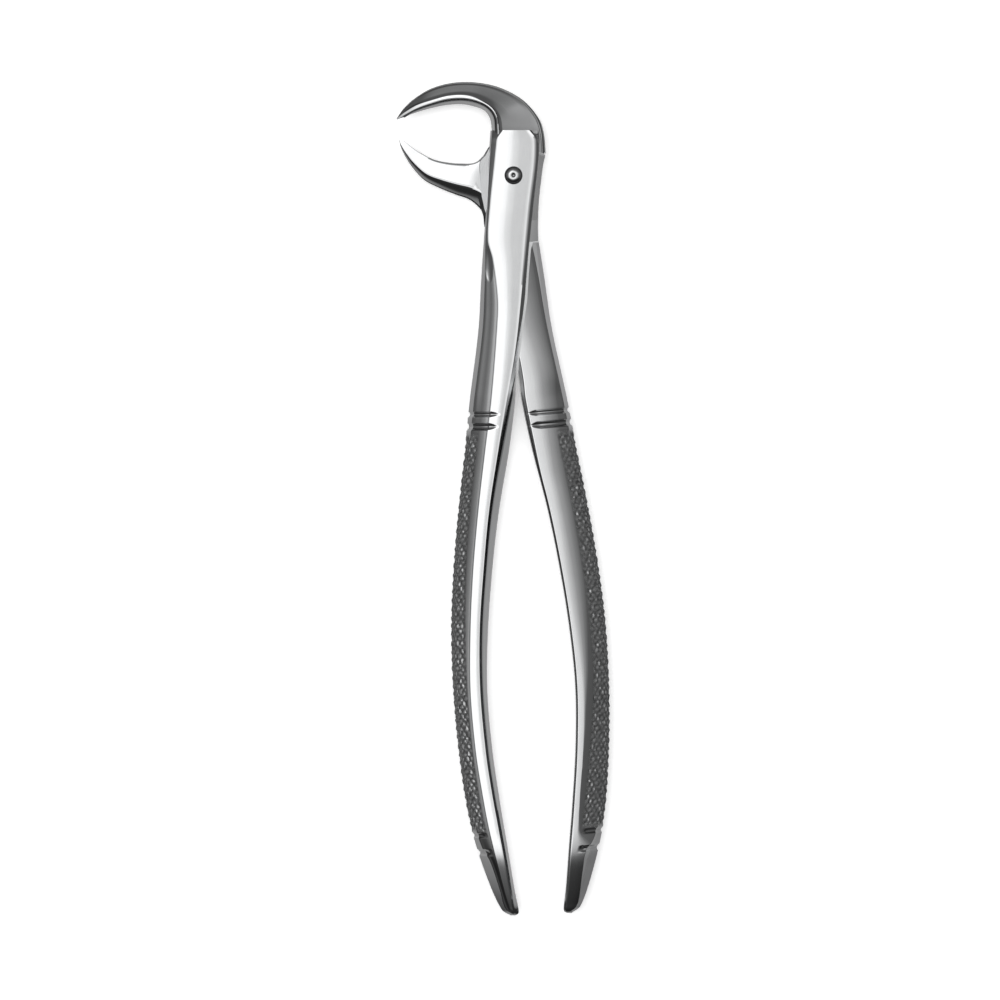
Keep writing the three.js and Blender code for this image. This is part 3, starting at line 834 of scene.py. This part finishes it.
bpy.ops.mesh.primitive_plane_add(size=4.0, location=(centre.x, centre.y, low.z))
floor = bpy.context.object
floor.name = "floor"
floor.data.materials.append(floor_material())
floor.visible_glossy = False
floor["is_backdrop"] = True

world = bpy.data.worlds.new("studio")
bpy.context.scene.world = world
world.use_nodes = True
nodes, links = world.node_tree.nodes, world.node_tree.links
background = nodes["Background"]
direction = nodes.new("ShaderNodeTexCoord")
split = nodes.new("ShaderNodeSeparateXYZ")
links.new(direction.outputs["Generated"], split.inputs["Vector"])


def sky_ramp(stops):
    """Radiance for a direction's z, as a ramp from straight down to straight up."""
    place = nodes.new("ShaderNodeMapRange")
    place.inputs["From Min"].default_value = -1.0
    place.inputs["From Max"].default_value = 1.0
    links.new(split.outputs["Z"], place.inputs["Value"])
    ramp = nodes.new("ShaderNodeValToRGB")
    elements = ramp.color_ramp.elements
    while len(elements) < len(stops):
        elements.new(0.5)
    for element, (z, level) in zip(elements, stops):
        element.position = (z + 1) / 2
        element.color = (level / 2, level / 2, level / 2, 1)
    links.new(place.outputs["Result"], ramp.inputs["Fac"])
    return ramp.outputs["Color"]


low_sky = [(-1, 0.42), (-0.45, 0.38), (-0.3, 0.24), (-0.22, 0.03), (0.03, 0.03), (0.1, 0.1)]
right_sky = sky_ramp(low_sky + [(0.56, 0.13), (0.766, 0.31), (0.866, 0.5), (0.94, 0.9),
                                (0.985, 1.4), (0.9976, 1.1), (1.0, 0.85)])
left_sky = sky_ramp(low_sky + [(0.5, 0.14), (0.72, 0.34), (0.8, 0.8), (0.94, 1.7),
                               (0.99, 1.8), (0.9976, 1.2), (1.0, 0.85)])
side_share = nodes.new("ShaderNodeMapRange")
side_share.interpolation_type = "SMOOTHSTEP"
side_share.inputs["From Min"].default_value = -0.12
side_share.inputs["From Max"].default_value = 0.12
links.new(split.outputs["X"], side_share.inputs["Value"])
blend = nodes.new("ShaderNodeMix")
blend.data_type = "RGBA"
links.new(side_share.outputs["Result"], blend.inputs["Factor"])
links.new(left_sky, blend.inputs["A"])
links.new(right_sky, blend.inputs["B"])


def smooth_step(source, low, high, out_low, out_high):
    """A level that eases from out_low to out_high as a direction's component grows."""
    step = nodes.new("ShaderNodeMapRange")
    step.interpolation_type = "SMOOTHSTEP"
    step.inputs["From Min"].default_value = low
    step.inputs["From Max"].default_value = high
    step.inputs["To Min"].default_value = out_low
    step.inputs["To Max"].default_value = out_high
    links.new(split.outputs[source], step.inputs["Value"])
    return step.outputs["Result"]


WINDOW_GAIN = 0.36
END_DARKNESS = 0.85
# A window over the far side brightens what leans a few degrees that way.
window_in = smooth_step("Y", 0.07, 0.16, 0.0, WINDOW_GAIN)
window_out = smooth_step("Y", 0.24, 0.4, 1.0, 0.0)
window = nodes.new("ShaderNodeMath")
window.operation = "MULTIPLY_ADD"
links.new(window_in, window.inputs[0])
links.new(window_out, window.inputs[1])
window.inputs[2].default_value = 1.0

# The room is dark toward the handles' end, above the horizon.
toward_end = smooth_step("Y", -0.5, -0.15, END_DARKNESS, 0.0)
above = smooth_step("Z", 0.05, 0.35, 0.0, 1.0)
shade = nodes.new("ShaderNodeMath")
shade.operation = "MULTIPLY"
links.new(toward_end, shade.inputs[0])
links.new(above, shade.inputs[1])
keep = nodes.new("ShaderNodeMath")
keep.operation = "SUBTRACT"
links.new(window.outputs["Value"], keep.inputs[0])
links.new(shade.outputs["Value"], keep.inputs[1])
dim = nodes.new("ShaderNodeVectorMath")
dim.operation = "SCALE"
links.new(blend.outputs["Result"], dim.inputs[0])
links.new(keep.outputs["Value"], dim.inputs["Scale"])
links.new(dim.outputs["Vector"], background.inputs["Color"])
background.inputs["Strength"].default_value = 2.0

lamp_data = bpy.data.lights.new("soft_overhead", "AREA")
lamp_data.shape = "DISK"
lamp_data.size = 3.5
lamp_data.energy = 70.0
lamp = bpy.data.objects.new("soft_overhead", lamp_data)
lamp.location = (centre.x - 0.3, centre.y + 0.3, 3.0)
lamp.visible_camera = False
lamp.visible_glossy = False
bpy.context.scene.collection.objects.link(lamp)

# The view is 204 mm wide, and its middle lies left of and below the hinge.
VIEW_X = -2.755
VIEW_Y = -66.13
FRAME_WIDTH = 204.1 * MM
LENS = 400.0
SENSOR = 36.0
camera_data = bpy.data.cameras.new("camera")
camera_data.lens = LENS
camera_data.sensor_width = SENSOR
camera_data.clip_start = 0.05
camera_data.clip_end = 10.0
camera = bpy.data.objects.new("camera", camera_data)
camera.location = (VIEW_X * MM, VIEW_Y * MM, MIDDLE * MM + FRAME_WIDTH * LENS / SENSOR)
bpy.context.scene.collection.objects.link(camera)
bpy.context.scene.camera = camera

bpy.context.scene.view_settings.view_transform = "Standard"
bpy.context.scene.cycles.use_denoising = True
